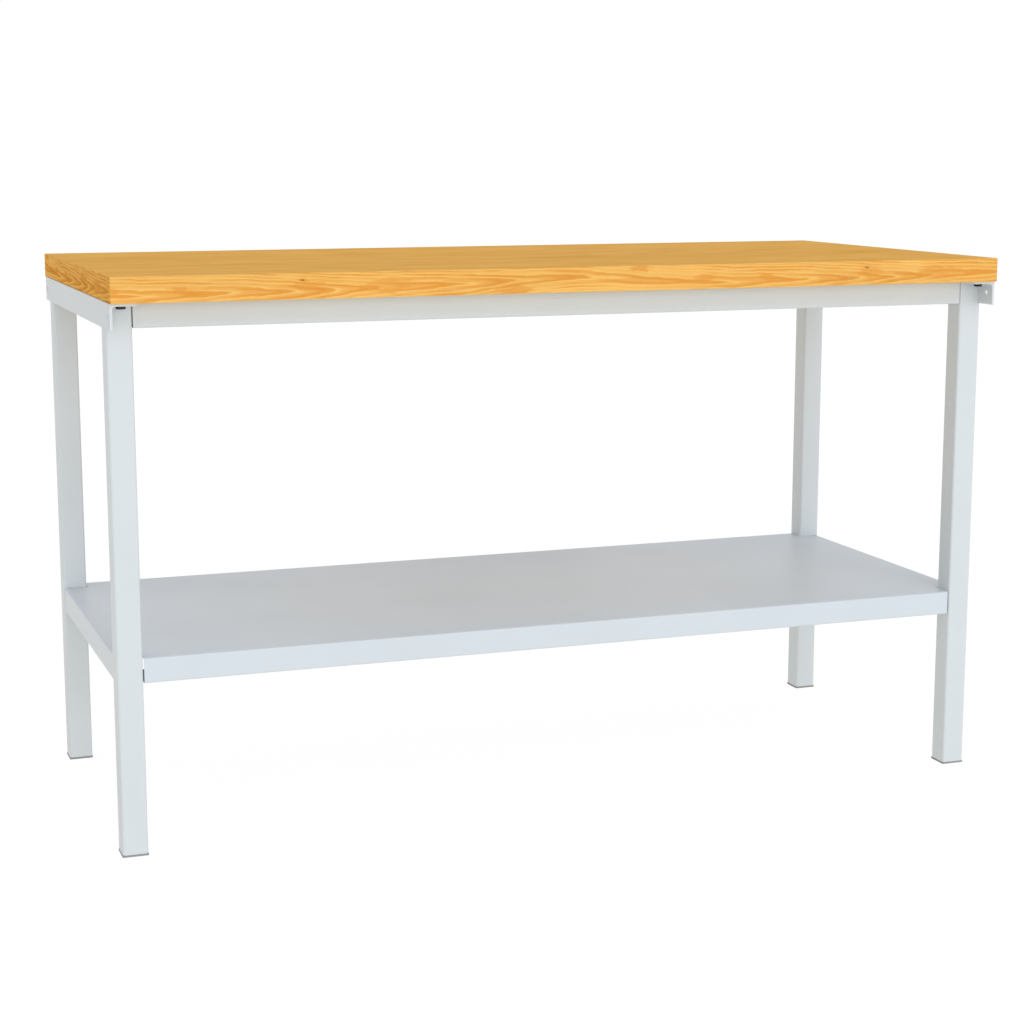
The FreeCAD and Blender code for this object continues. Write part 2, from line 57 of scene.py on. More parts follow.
class Tree:
    """A node tree that is being filled. Each call adds one node and returns its output."""

    def __init__(self, tree):
        self.tree = tree

    def plug(self, socket, value):
        """Link a socket to another one, or set its value. None leaves it as it is."""
        if isinstance(value, bpy.types.NodeSocket):
            self.tree.links.new(value, socket)
        elif value is not None:
            socket.default_value = value

    def add(self, kind, sockets=None, **settings):
        """Add a node. sockets gives its inputs by name or number, settings its properties."""
        node = self.tree.nodes.new(kind)
        for name, value in settings.items():
            setattr(node, name, value)
        for name, value in (sockets or {}).items():
            self.plug(node.inputs[name], value)
        return node

    def math(self, operation, a, b=None):
        return self.add("ShaderNodeMath", {0: a, 1: b}, operation=operation).outputs[0]

    def vector(self, operation, a, b=None, scale=None):
        sockets = {0: a, 1: b}
        if scale is not None:
            sockets["Scale"] = scale
        node = self.add("ShaderNodeVectorMath", sockets, operation=operation)
        return node.outputs["Value" if operation in ("LENGTH", "DISTANCE") else "Vector"]

    def noise(self, vector, scale, detail=2.0, roughness=0.5):
        sockets = {"Vector": vector, "Scale": scale, "Detail": detail, "Roughness": roughness}
        return self.add("ShaderNodeTexNoise", sockets).outputs[0]

    def stretched_noise(self, place, per_metre, detail=2.0, roughness=0.5):
        """Noise whose features per metre are given for each axis."""
        return self.noise(self.vector("MULTIPLY", place, per_metre), 1.0, detail, roughness)

    def spread(self, value, low, high, to_low=0.0, to_high=1.0, smooth=False):
        """Stretch low..high of a value to to_low..to_high, and stop at both ends."""
        sockets = {0: value, 1: low, 2: high, 3: to_low, 4: to_high}
        kind = "SMOOTHSTEP" if smooth else "LINEAR"
        return self.add("ShaderNodeMapRange", sockets, interpolation_type=kind).outputs[0]

    def ramp(self, value, stops, kind="EASE"):
        """A colour ramp from stops of (place, grey value or colour)."""
        node = self.add("ShaderNodeValToRGB", {0: value})
        node.color_ramp.interpolation = kind
        points = node.color_ramp.elements
        while len(points) < len(stops):
            points.new(0.5)
        for point, (place, colour) in zip(points, stops):
            point.position = place
            if isinstance(colour, (int, float)):
                colour = (colour, colour, colour)
            point.color = (*colour, 1.0)
        return node.outputs[0]

    def mix(self, factor, a, b, blend="MIX"):
        """Mix two colours, given as sockets or as red, green and blue."""
        node = self.add("ShaderNodeMix", data_type="RGBA", blend_type=blend)
        self.plug(node.inputs[0], factor)
        for socket, colour in ((node.inputs[6], a), (node.inputs[7], b)):
            if not isinstance(colour, bpy.types.NodeSocket):
                colour = (*colour, 1.0)
            self.plug(socket, colour)
        return node.outputs[2]

    def combine(self, operation, first, *others):
        """Union or intersection of meshes, or the first one less the others."""
        node = self.add("GeometryNodeMeshBoolean", operation=operation, solver="EXACT")
        if operation == "DIFFERENCE":
            self.plug(node.inputs["Mesh 1"], first)
        else:
            others = (first, *others)
        for mesh in others:
            self.plug(node.inputs["Mesh 2"], mesh)
        return node.outputs["Mesh"]

    def cone(self, sides, top, bottom, depth):
        """A cone cut off at its top, or a prism, standing on the origin."""
        sockets = {"Vertices": sides, "Radius Top": top, "Radius Bottom": bottom, "Depth": depth}
        return self.add("GeometryNodeMeshCone", sockets, fill_type="NGON").outputs["Mesh"]

    def move(self, geometry, z):
        """Move a geometry up by z."""
        offset = self.add("ShaderNodeCombineXYZ", {"Z": z}).outputs[0]
        sockets = {"Geometry": geometry, "Translation": offset}
        return self.add("GeometryNodeTransform", sockets).outputs[0]

    def group(self, group, sockets):
        """Place a node group, with its named inputs, and return its outputs by name."""
        kind = "ShaderNodeGroup" if group.type == "SHADER" else "GeometryNodeGroup"
        node = self.add(kind, node_tree=group)
        for name, value in sockets.items():
            self.plug(node.inputs[name], value)
        return {socket.name: socket for socket in node.outputs}


def new_group(name, kind, inputs, outputs):
    """A node group with named sockets. Returns its Tree, its inputs by name and its output."""
    tree = bpy.data.node_groups.new(name, kind)
    for label, socket_type, value in inputs:
        socket = tree.interface.new_socket(label, in_out="INPUT", socket_type=socket_type)
        if value is not None:
            socket.default_value = value
    for label, socket_type in outputs:
        tree.interface.new_socket(label, in_out="OUTPUT", socket_type=socket_type)
    start = tree.nodes.new("NodeGroupInput")
    end = tree.nodes.new("NodeGroupOutput")
    return Tree(tree), {socket.name: socket for socket in start.outputs}, end


FLOAT, VECTOR = "NodeSocketFloat", "NodeSocketVector"
GEOMETRY, MATERIAL = "NodeSocketGeometry", "NodeSocketMaterial"


# --- effects shared by the finishes --------------------------------------------------------


RINGS_PER_REPEAT = 8.0
# how far the heart line may run above or below the middle of the edge
HEART_REACH = 20 * MM
# how blunt the tips of the flames are
HEART_ROUNDING = 1.6 * MM

# knots and resin spots on the figure: place along it and from its middle, radius, darkness of
# the core and strength of the orange round it
FIGURE_KNOTS = [
    ((0.2485, 0.0092), 0.0015, 0.65, 0.4),
    ((0.062, -0.0005), 0.0020, 0.0, 0.65),
    ((0.074, -0.0055), 0.0018, 0.0, 0.6),
    ((0.255, 0.0020), 0.0032, 0.0, 0.6),
    ((0.385, -0.0010), 0.0048, 0.0, 0.5),
    ((0.590, -0.0140), 0.0036, 0.0, 0.6),
    ((0.800, 0.0155), 0.0024, 0.0, 0.7),
    ((0.915, -0.0010), 0.0026, 0.0, 0.6),
]


def make_flame_figure():
    """The rings of pine on an edge of the board: long nested flames that point along it.

    The rings are counted along the heart line and up and down from it. Their late wood is
    orange, darkest at a flame's tip, and stops sharply at the outside of each ring.
    """
    tree, given, end = new_group("flame_figure", "ShaderNodeTree", [
        ("Along", FLOAT, 0.0), ("Height", FLOAT, 0.0), ("Repeat Length", FLOAT, 0.96),
        ("Ring Width", FLOAT, 0.0082), ("Ripple", FLOAT, 0.9), ("Seed", FLOAT, 0.0),
    ], [("Late Wood", FLOAT), ("Fibre", FLOAT), ("Tone", FLOAT), ("Knot", FLOAT), ("Halo", FLOAT)])

    # how many rings have been passed along the heart line, and where that line runs
    turns = tree.math("FRACT", tree.math("DIVIDE", given["Along"], given["Repeat Length"]))
    ring_count = tree.math("MULTIPLY", tree.ramp(turns, [
        (0.0, 0.0), (0.14, 0.11), (0.251, 0.25), (0.316, 0.375), (0.395, 0.5),
        (0.537, 0.625), (0.615, 0.75), (0.762, 0.875), (1.0, 1.0),
    ], "LINEAR"), RINGS_PER_REPEAT)
    heart = tree.spread(tree.ramp(turns, [
        (0.0, 0.25), (0.12, 0.34), (0.25, 0.31), (0.32, 0.32), (0.395, 0.39), (0.537, 0.45),
        (0.615, 0.53), (0.74, 0.66), (0.84, 0.40), (1.0, 0.25),
    ], "B_SPLINE"), 0.0, 1.0, -HEART_REACH, HEART_REACH)

    # the rings, counted on up and down from the heart line with the grain's own waver
    spot = tree.add("ShaderNodeCombineXYZ", {
        0: given["Along"], 1: given["Height"], 2: given["Seed"],
    }).outputs[0]
    drift = tree.math("SUBTRACT", tree.stretched_noise(spot, (14, 30, 1)), 0.5)
    above = tree.math("SUBTRACT", given["Height"], heart)
    above = tree.math("ADD", above, tree.math("MULTIPLY", drift, 0.005))
    squared = tree.math("ADD", tree.math("POWER", above, 2.0), HEART_ROUNDING ** 2)
    rounded = tree.math("SQRT", squared)
    arms = tree.math("POWER", tree.math("DIVIDE", rounded, given["Ring Width"]), 1.3)
    wave = tree.math("SUBTRACT", tree.stretched_noise(spot, (17, 150, 1), 4.0), 0.5)
    wave = tree.math("MULTIPLY", wave, given["Ripple"])
    rings = tree.math("ADD", tree.math("ADD", ring_count, arms), wave)
    rings = tree.math("SUBTRACT", rings, 0.16)

    # late wood: boldest at the tips of the flames, and unlike from ring to ring and in patches
    near_heart = tree.spread(rounded, 0.004, 0.013, 0.9, 0.0, True)
    broader = tree.spread(near_heart, 0.0, 0.9, 1.0, 0.55)
    within = tree.math("POWER", tree.math("FRACT", rings), broader)
    late = tree.ramp(within, [
        (0.0, 0.0), (0.16, 0.08), (0.5, 0.55), (0.75, 1.0), (0.92, 1.0), (1.0, 0.0),
    ], "EASE")
    number = tree.math("FLOORED_MODULO", tree.math("FLOOR", rings), RINGS_PER_REPEAT)
    strength = tree.add("ShaderNodeTexWhiteNoise", {"W": number}, noise_dimensions="1D")
    strength = tree.spread(strength.outputs["Value"], 0, 1, 0.6, 1.0)
    patch = tree.stretched_noise(spot, (12, 110, 1), 3.0)
    patch = tree.spread(patch, 0.3, 0.58, 0.25, 1.0, True)
    quiet = tree.ramp(turns, [(0.0, 1.0), (0.70, 1.0), (0.79, 0.45), (0.92, 0.5), (1.0, 1.0)])
    patch = tree.math("MULTIPLY", patch, quiet)
    strength = tree.math("MAXIMUM", tree.math("MULTIPLY", strength, patch), near_heart)
    late = tree.math("MULTIPLY", late, strength)
    fine = tree.math("FRACT", tree.math("MULTIPLY", rings, 3.0))
    fine = tree.math("MULTIPLY", tree.spread(fine, 0.3, 0.9, 0.0, 1.0, True), 0.14)
    tree.plug(end.inputs["Late Wood"], tree.math("ADD", late, fine))
    tree.plug(end.inputs["Fibre"], tree.stretched_noise(spot, (16, 1100, 1), 3.0, 0.6))
    tree.plug(end.inputs["Tone"], tree.stretched_noise(spot, (4, 30, 1)))

    # knots and resin spots with torn edges
    inside = tree.math("MULTIPLY", turns, given["Repeat Length"])
    knot_spot = tree.add("ShaderNodeCombineXYZ", {0: inside, 1: given["Height"]}).outputs[0]
    ragged = tree.math("SUBTRACT", tree.stretched_noise(spot, (500, 900, 1)), 0.5)
    torn = tree.stretched_noise(spot, (55, 420, 1), 3.0)
    torn = tree.math("MULTIPLY", tree.math("SUBTRACT", torn, 0.5), 6.0)
    mask, halo = 0.0, 0.0
    for place, radius, darkness, glow in FIGURE_KNOTS:
        offset = tree.vector("SUBTRACT", knot_spot, (*place, 0.0))
        offset = tree.vector("MULTIPLY", offset, (0.3, 1.0, 1.0))
        away = tree.math("DIVIDE", tree.vector("LENGTH", offset), radius)
        core = tree.spread(tree.math("ADD", away, ragged), 0.5, 1.1, darkness, 0.0, True)
        mask = tree.math("MAXIMUM", mask, core)
        away = tree.math("ADD", away, torn)
        halo = tree.math("MAXIMUM", halo, tree.spread(away, 1.5, 2.7, glow, 0.0, True))
    tree.plug(end.inputs["Knot"], mask)
    tree.plug(end.inputs["Halo"], halo)
    return tree.tree


def make_straight_grain():
    """Quiet grain on the faces of the board: long lines that drift, part and close again."""
    tree, given, end = new_group("straight_grain", "ShaderNodeTree", [
        ("Vector", VECTOR, None), ("Lines Per Metre", FLOAT, 70.0), ("Drift", FLOAT, 15.0),
        ("Seed", FLOAT, 0.0),
    ], [("Late Wood", FLOAT), ("Fibre", FLOAT), ("Tone", FLOAT)])
    shift = tree.add("ShaderNodeCombineXYZ", {2: given["Seed"]}).outputs[0]
    spot = tree.vector("ADD", given["Vector"], shift)
    across = tree.add("ShaderNodeSeparateXYZ", {0: spot}).outputs["Y"]
    drift = tree.stretched_noise(spot, (0.9, 5.0, 1.0), 1.0)
    rings = tree.math("MULTIPLY", across, given["Lines Per Metre"])
    rings = tree.math("ADD", rings, tree.math("MULTIPLY", drift, given["Drift"]))
    shiver = tree.stretched_noise(spot, (6.0, 70.0, 1.0), 3.0)
    rings = tree.math("ADD", rings, tree.math("MULTIPLY", shiver, 0.8))
    late = tree.ramp(tree.math("FRACT", rings), [
        (0.0, 0.05), (0.3, 0.1), (0.62, 0.5), (0.86, 1.0), (0.95, 0.8), (1.0, 0.05),
    ])
    fade = tree.stretched_noise(spot, (1.4, 16.0, 1.0))
    late = tree.math("MULTIPLY", late, tree.spread(fade, 0.3, 0.7, 0.35, 1.0, True))
    streak = tree.stretched_noise(spot, (0.8, 34.0, 1.0), 3.0, 0.6)
    late = tree.math("ADD", late, tree.spread(streak, 0.4, 0.7, 0.0, 0.45, True))
    dash = tree.stretched_noise(spot, (7.0, 42.0, 1.0), 2.0, 0.6)
    late = tree.math("ADD", late, tree.spread(dash, 0.42, 0.62, -0.3, 0.5, True))
    cloud = tree.stretched_noise(spot, (0.9, 6.0, 1.0))
    hair = tree.stretched_noise(spot, (9.0, 900.0, 1.0), 3.0, 0.6)
    tree.plug(end.inputs["Late Wood"], late)
    tree.plug(end.inputs["Fibre"], hair)
    tree.plug(end.inputs["Tone"], cloud)
    return tree.tree


def make_handling():
    """Faint marks of use: a broad unevenness, fine dust and short thin scuffs."""
    tree, given, end = new_group("handling", "ShaderNodeTree", [
        ("Vector", VECTOR, None), ("Amount", FLOAT, 1.0),
    ], [("Cloud", FLOAT), ("Dust", FLOAT), ("Scuff", FLOAT)])
    cloud = tree.spread(tree.noise(given["Vector"], 5.0, 4.0, 0.55), 0.35, 0.65)
    dust = tree.spread(tree.noise(given["Vector"], 420.0, 2.0), 0.62, 0.78)
    skewed = tree.add("ShaderNodeMapping", {
        "Vector": given["Vector"], "Rotation": (0.2, 0.35, 0.5), "Scale": (9.0, 260.0, 260.0),
    }).outputs[0]
    scuff = tree.spread(tree.noise(skewed, 1.0, 1.0), 0.74, 0.8)
    for name, value in (("Cloud", cloud), ("Dust", dust), ("Scuff", scuff)):
        tree.plug(end.inputs[name], tree.math("MULTIPLY", value, given["Amount"]))
    return tree.tree


def make_orange_peel():
    """The shallow dimpled surface of baked powder coat."""
    tree, given, end = new_group("orange_peel", "ShaderNodeTree", [
        ("Vector", VECTOR, None), ("Dimples Per Metre", FLOAT, 420.0),
    ], [("Height", FLOAT), ("Speck", FLOAT)])
    peel = tree.noise(given["Vector"], given["Dimples Per Metre"], 1.0, 0.4)
    fine = tree.noise(given["Vector"], 2600.0, 1.0)
    tree.plug(end.inputs["Height"], tree.math("ADD", peel, tree.math("MULTIPLY", fine, 0.2)))
    tree.plug(end.inputs["Speck"], tree.spread(fine, 0.62, 0.72))
    return tree.tree


flame_figure = make_flame_figure()
straight_grain = make_straight_grain()
handling = make_handling()
orange_peel = make_orange_peel()


# --- finishes ------------------------------------------------------------------------------


def new_material(name, roughness, **constants):
    """A material with one Principled shader. constants are its unchanging sockets."""
    material = bpy.data.materials.new(name)
    material.use_nodes = True
    material.node_tree.nodes.clear()
    tree = Tree(material.node_tree)
    shader = tree.add("ShaderNodeBsdfPrincipled")
    shader.inputs["Roughness"].default_value = roughness
    for socket, value in constants.items():
        shader.inputs[socket.replace("_", " ")].default_value = value
    output = tree.add("ShaderNodeOutputMaterial")
    tree.plug(output.inputs["Surface"], shader.outputs[0])
    place = tree.add("ShaderNodeTexCoord").outputs["Object"]
    return material, tree, shader, place


def add_bump(tree, shader, height, distance, strength=1.0):
    """Bend the shader's normal by a height map that rises by distance at most."""
    bump = tree.add("ShaderNodeBump", {
        "Height": height, "Distance": distance, "Strength": strength,
    })
    tree.plug(shader.inputs["Normal"], bump.outputs[0])


def finish_wood(wood, grain, light, dark, contrast):
    """Colour, roughness and bump of bare sanded pine from its grain, and a painted shadow along
    the lower arris where the grain carries one.
    """
    material, tree, shader, place = wood
    late = tree.math("MULTIPLY", grain["Late Wood"], contrast)
    colour = tree.mix(tree.spread(late, 0.0, 1.0), light, dark)
    tone = tree.spread(grain["Tone"], 0.3, 0.7, 0.96, 1.03)
    hair = tree.spread(grain["Fibre"], 0.3, 0.7, 0.95, 1.04)
    shade = tree.math("MULTIPLY", tone, hair)
    shades = tree.add("ShaderNodeCombineColor", {0: shade, 1: shade, 2: shade}).outputs[0]
    colour = tree.mix(1.0, colour, shades, "MULTIPLY")
    if "Knot" in grain:
        colour = tree.mix(grain["Halo"], colour, dark)
        colour = tree.mix(grain["Knot"], colour, (0.13, 0.05, 0.015))
        # painted shadow: near-black brown along the lower arris
        colour = tree.mix(grain["Lower Arris"], colour, (0.10, 0.07, 0.05))
    tree.plug(shader.inputs["Base Color"], colour)
    marks = tree.group(handling, {"Vector": place, "Amount": 1.0})
    rough = tree.math("ADD", tree.math("MULTIPLY", late, -0.1), 0.62)
    rough = tree.math("ADD", rough, tree.math("MULTIPLY", marks["Cloud"], 0.08))
    tree.plug(shader.inputs["Roughness"], rough)
    height = tree.math("ADD", tree.math("MULTIPLY", grain["Fibre"], 0.6), late)
    add_bump(tree, shader, height, 0.08 * MM, 0.6)
    return material


# height of the middle of the board's edges
BOARD_MIDDLE = 0.88
# from the board's middle: where the painted shadow on its lower arris is full, and where it has
# gone
SHADOW_RISE = (-18.8 * MM, -17.2 * MM)


def make_edge_wood(name, along, start, light, dark, contrast, shadow):
    """Wood of a face that stands up. along gives the weights of X and Y in the figure's run.

    shadow is how dark the painted shadow along its lower arris is.
    """
    wood = new_material(name, 0.6, Specular_IOR_Level=0.0)
    _, tree, _, place = wood
    run = tree.add("ShaderNodeVectorMath", {0: place, 1: (*along, 0.0)}, operation="DOT_PRODUCT")
    run = tree.math("ADD", run.outputs["Value"], start)
    height = tree.add("ShaderNodeSeparateXYZ", {0: place}).outputs["Z"]
    height = tree.math("SUBTRACT", height, BOARD_MIDDLE)
    grain = tree.group(flame_figure, {"Along": run, "Height": height})
    # painted shadow: the wood darkens towards its lower arris
    grain["Lower Arris"] = tree.spread(height, *SHADOW_RISE, shadow, 0.0, True)
    return finish_wood(wood, grain, light, dark, contrast)


def make_top_wood(name, light, dark, contrast):
    """Wood of the board's top and underside."""
    wood = new_material(name, 0.6, Specular_IOR_Level=0.0)
    _, tree, _, place = wood
    grain = tree.group(straight_grain, {"Vector": place})
    return finish_wood(wood, grain, light, dark, contrast)


def make_paint(name, colour):
    """Powder coat, or dark paint on the spigots for painted shade in the rail gaps: faint clouds
    and scuffs over a dimpled surface.
    """
    material, tree, shader, place = new_material(name, 0.38, Specular_IOR_Level=0.45)
    peel = tree.group(orange_peel, {"Vector": place})
    marks = tree.group(handling, {"Vector": place, "Amount": 1.0})
    darker = [value * 0.98 for value in colour]
    shown = tree.mix(marks["Cloud"], colour, darker)
    shown = tree.mix(tree.math("MULTIPLY", peel["Speck"], 0.1), shown, (0.9, 0.92, 0.94))
    shown = tree.mix(tree.math("MULTIPLY", marks["Scuff"], 0.12), shown, (0.42, 0.42, 0.42))
    tree.plug(shader.inputs["Base Color"], shown)
    rough = tree.spread(marks["Cloud"], 0.0, 1.0, 0.38, 0.42)
    rough = tree.math("ADD", rough, tree.math("MULTIPLY", marks["Dust"], 0.1))
    tree.plug(shader.inputs["Roughness"], rough)
    add_bump(tree, shader, peel["Height"], 0.06 * MM)
    return material


def make_plastic(name, colour):
    """Moulded plastic with the fine sparkle texture of its mould."""
    material, tree, shader, place = new_material(name, 0.55)
    grain = tree.noise(place, 2400.0, 3.0, 0.6)
    marks = tree.group(handling, {"Vector": place, "Amount": 1.0})
    paler = [min(1.0, value * 1.5 + 0.03) for value in colour]
    shown = tree.mix(tree.math("MULTIPLY", marks["Cloud"], 0.35), colour, paler)
    shown = tree.mix(tree.math("MULTIPLY", marks["Dust"], 0.5), shown, (0.5, 0.5, 0.48))
    tree.plug(shader.inputs["Base Color"], shown)
    tree.plug(shader.inputs["Roughness"], tree.spread(grain, 0.3, 0.7, 0.48, 0.66))
    add_bump(tree, shader, grain, 0.05 * MM)
    return material


def make_coated_steel(name, colour, metallic, roughness):
    """Fasteners: blackened or zinc-plated steel with a fine mottle and rubbed high spots."""
    material, tree, shader, place = new_material(name, roughness)
    mottle = tree.noise(place, 700.0, 4.0, 0.6)
    lathe = tree.stretched_noise(place, (300.0, 300.0, 3800.0))
    rubbed = [min(1.0, value * 1.25 + 0.02) for value in colour]
    shown = tree.mix(tree.spread(mottle, 0.45, 0.7), colour, rubbed)
    tree.plug(shader.inputs["Base Color"], shown)
    tree.plug(shader.inputs["Metallic"], tree.spread(mottle, 0.3, 0.7, metallic * 0.9, metallic))
    low, high = roughness * 0.85, roughness * 1.2
    tree.plug(shader.inputs["Roughness"], tree.spread(mottle, 0.3, 0.7, high, low))
    add_bump(tree, shader, tree.math("ADD", lathe, mottle), 0.04 * MM)
    return material


# where each edge starts in the figure: an offset in metres along it
FRONT_START = 0.92
END_START = 0.454

FRAME_GREY = (0.646, 0.702, 0.743)
# the shelf has the frame's paint made bluer: a painted tint that stands in for cool light on the
# shelf's top
SHELF_GREY_COOLED = (0.635, 0.701, 0.768)

edge_wood = make_edge_wood(
    "edge_wood", (1.0, 0.6), FRONT_START, (0.875, 0.528, 0.150), (0.715, 0.297, 0.050), 0.95, 0.0,
)
# the ends get a painted shadow along their lower arris (last argument); the edges get none
end_wood = make_edge_wood(
    "end_wood", (0.4, -1.0), END_START, (0.86, 0.490, 0.137), (0.605, 0.250, 0.036), 1.0,
    0.5,
)
top_wood = make_top_wood("top_wood", (0.862, 0.48, 0.13), (0.72, 0.365, 0.075), 0.6)
under_wood = make_top_wood("underside_wood", (0.80, 0.55, 0.26), (0.68, 0.43, 0.17), 0.6)
frame_coat = make_paint("frame_powder_coat", FRAME_GREY)
# shelf coat in the bluer grey, the painted tint for the cool light on the shelf
shelf_coat_cooled = make_paint("shelf_powder_coat_cooled", SHELF_GREY_COOLED)
# the spigots are painted dark grey: painted shade that darkens the gaps between the long rails and
# the legs
spigot_gap_shade = make_paint("spigot_painted_gap_shade", (0.2, 0.205, 0.21))
plug_plastic = make_plastic("plug_plastic", (0.245, 0.25, 0.255))
blackened_steel = make_coated_steel("blackened_steel", (0.018, 0.018, 0.02), 0.5, 0.45)
zinc_plate = make_coated_steel("zinc_plate", (0.62, 0.64, 0.66), 1.0, 0.32)


# --- pieces --------------------------------------------------------------------------------


def new_piece(name, mesh, materials, nodes):
    """Put a finished mesh in the scene as a piece that stands for CAD nodes."""
    piece = bpy.data.objects.new(name, mesh)
    bpy.context.scene.collection.objects.link(piece)
    mesh.materials.clear()
    for material in materials:
        mesh.materials.append(material)
    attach(piece, "root")
    if nodes:
        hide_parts(*nodes)
    return piece


def copy_of_node(name, node):
    """A copy of a CAD node's mesh, with its loose triangles joined into whole faces."""
    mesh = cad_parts[node].data.copy()
    mesh.name = name
    work = bmesh.new()
    work.from_mesh(mesh)
    bmesh.ops.remove_doubles(work, verts=work.verts, dist=SAME_PLACE)
    bmesh.ops.dissolve_limit(
        work, angle_limit=math.radians(1), verts=work.verts, edges=work.edges,
    )
    work.to_mesh(mesh)
    work.free()
    return mesh


# how far the cut edges of wood, and of steel and plastic, are rounded
WOOD_ARRIS = 0.4 * MM
HARD_ARRIS = 0.3 * MM


def soften(piece, width):
    """Round the piece's cut edges by a width, and shade its flat faces evenly."""
    rounding = piece.modifiers.new("rounded_edges", "BEVEL")
    rounding.limit_method = "ANGLE"
    rounding.angle_limit = math.radians(35)
    rounding.width = width
    rounding.segments = 2
    rounding.use_clamp_overlap = False
    for face in piece.data.polygons:
        face.use_smooth = True
    shading = piece.modifiers.new("even_shading", "WEIGHTED_NORMAL")
    shading.keep_sharp = True


def make_worktop():
    """The board, with eased arrises and its own figure on top, underside, edges and ends."""
    mesh = copy_of_node("worktop_board", "worktop")
    # in the order of the axes X, Y and Z that the faces look along, with the underside last
    woods = [end_wood, edge_wood, top_wood, under_wood]
    piece = new_piece("worktop_board", mesh, woods, ["worktop"])
    for face in mesh.polygons:
        steepest = max(range(3), key=lambda axis: abs(face.normal[axis]))
        looks_down = face.normal.z < -0.6
        face.material_index = woods.index(under_wood) if looks_down else steepest
    soften(piece, WOOD_ARRIS)


def make_steel():
    """Legs, angle rails, spigots and the shelf, each with its finish."""
    corners = [f"{depth}_{side}" for depth in ("front", "back") for side in ("left", "right")]
    for nodes, finish, slot in (
        (["left_angle_rail", "right_angle_rail"], frame_coat, "frame_paint"),
        ([f"{corner}_leg" for corner in corners], frame_coat, "frame_paint"),
        # spigots in dark grey, painted shade for the gaps at the rail ends
        ([f"{corner}_spigot" for corner in corners], spigot_gap_shade, "frame_paint"),
        (["shelf", "shelf_stiffener"], shelf_coat_cooled, "shelf_paint"),
    ):
        for node in nodes:
            name = f"{node}_coated"
            piece = new_piece(name, copy_of_node(name, node), [finish], [node])
            soften(piece, HARD_ARRIS)


def make_feet():
    """The plugs in the lower ends of the legs."""
    for corner in ("front_left", "front_right", "back_left", "back_right"):
        name = f"{corner}_foot_plug"
        mesh = copy_of_node(name, f"{corner}_foot")
        piece = new_piece(name, mesh, [plug_plastic], [f"{corner}_foot"])
        soften(piece, HARD_ARRIS)


# --- pieces grown by geometry nodes --------------------------------------------------------


def make_hexagon():
    """A hexagonal blank whose upper corners are turned off at 30 degrees."""
    tree, given, end = new_group("hexagon", "GeometryNodeTree", [
        ("Flats", FLOAT, 13 * MM), ("Height", FLOAT, 5 * MM),
    ], [("Mesh", GEOMETRY)])
    corner = tree.math("MULTIPLY", given["Flats"], 1 / math.sqrt(3))
    blank = tree.cone(6, corner, corner, given["Height"])
    crown = tree.math("MULTIPLY", given["Flats"], 0.475)
    spread = tree.math("MULTIPLY", given["Height"], math.sqrt(3))
    turned = tree.cone(64, crown, tree.math("ADD", crown, spread), given["Height"])
    tree.plug(end.inputs["Mesh"], tree.combine("INTERSECT", blank, turned))
    return tree.tree


def make_thread():
    """A threaded shank that hangs from the origin, with a tip that narrows at its lower end."""
    tree, given, end = new_group("thread", "GeometryNodeTree", [
        ("Diameter", FLOAT, 8 * MM), ("Pitch", FLOAT, 1.25 * MM),
        ("Length", FLOAT, 16 * MM), ("Tip", FLOAT, 1 * MM),
    ], [("Mesh", GEOMETRY)])
    crest = tree.math("MULTIPLY", given["Diameter"], 0.5)
    ridge = tree.math("MULTIPLY", given["Pitch"], 0.48)
    middle = tree.math("SUBTRACT", crest, ridge)
    straight = tree.math("SUBTRACT", given["Length"], given["Tip"])
    run = tree.math("SUBTRACT", straight, tree.math("MULTIPLY", ridge, 2.0))
    helix = tree.add("GeometryNodeCurveSpiral", {
        "Resolution": 16, "Rotations": tree.math("DIVIDE", run, given["Pitch"]),
        "Start Radius": middle, "End Radius": middle, "Height": run,
    }).outputs[0]
    profile = tree.add("GeometryNodeCurvePrimitiveCircle", {"Resolution": 4, "Radius": ridge})
    ridges = tree.add("GeometryNodeCurveToMesh", {
        "Curve": helix, "Profile Curve": profile.outputs[0], "Fill Caps": True,
    }).outputs[0]
    ridges = tree.move(ridges, tree.math("SUBTRACT", ridge, straight))
    core = tree.math("SUBTRACT", crest, tree.math("MULTIPLY", ridge, 1.1))
    shank = tree.move(tree.cone(24, core, core, straight), tree.math("MULTIPLY", straight, -1.0))
    blunt = tree.math("MULTIPLY", core, 0.35)
    tip = tree.cone(24, core, blunt, given["Tip"])
    tip = tree.move(tip, tree.math("MULTIPLY", given["Length"], -1.0))
    tree.plug(end.inputs["Mesh"], tree.combine("UNION", shank, tip, ridges))
    return tree.tree


def on_points(tree, given, shape):
    """The shape on each base point, its top towards the point's direction."""
    direction = tree.add(
        "GeometryNodeInputNamedAttribute", {"Name": "direction"}, data_type="FLOAT_VECTOR",
    ).outputs["Attribute"]
    turn = tree.add("FunctionNodeAlignRotationToVector", {"Vector": direction}, axis="Z")
    return tree.add("GeometryNodeInstanceOnPoints", {
        "Points": given["Points"], "Instance": shape, "Rotation": turn.outputs[0],
    }).outputs[0]


def set_finish(tree, given, end, geometry):
    """End a tree: its instances made real, with the finish on every face."""
    realized = tree.add("GeometryNodeRealizeInstances", {"Geometry": geometry}).outputs[0]
    finished = tree.add("GeometryNodeSetMaterial", {
        "Geometry": realized, "Material": given["Finish"],
    }).outputs[0]
    tree.plug(end.inputs["Mesh"], finished)


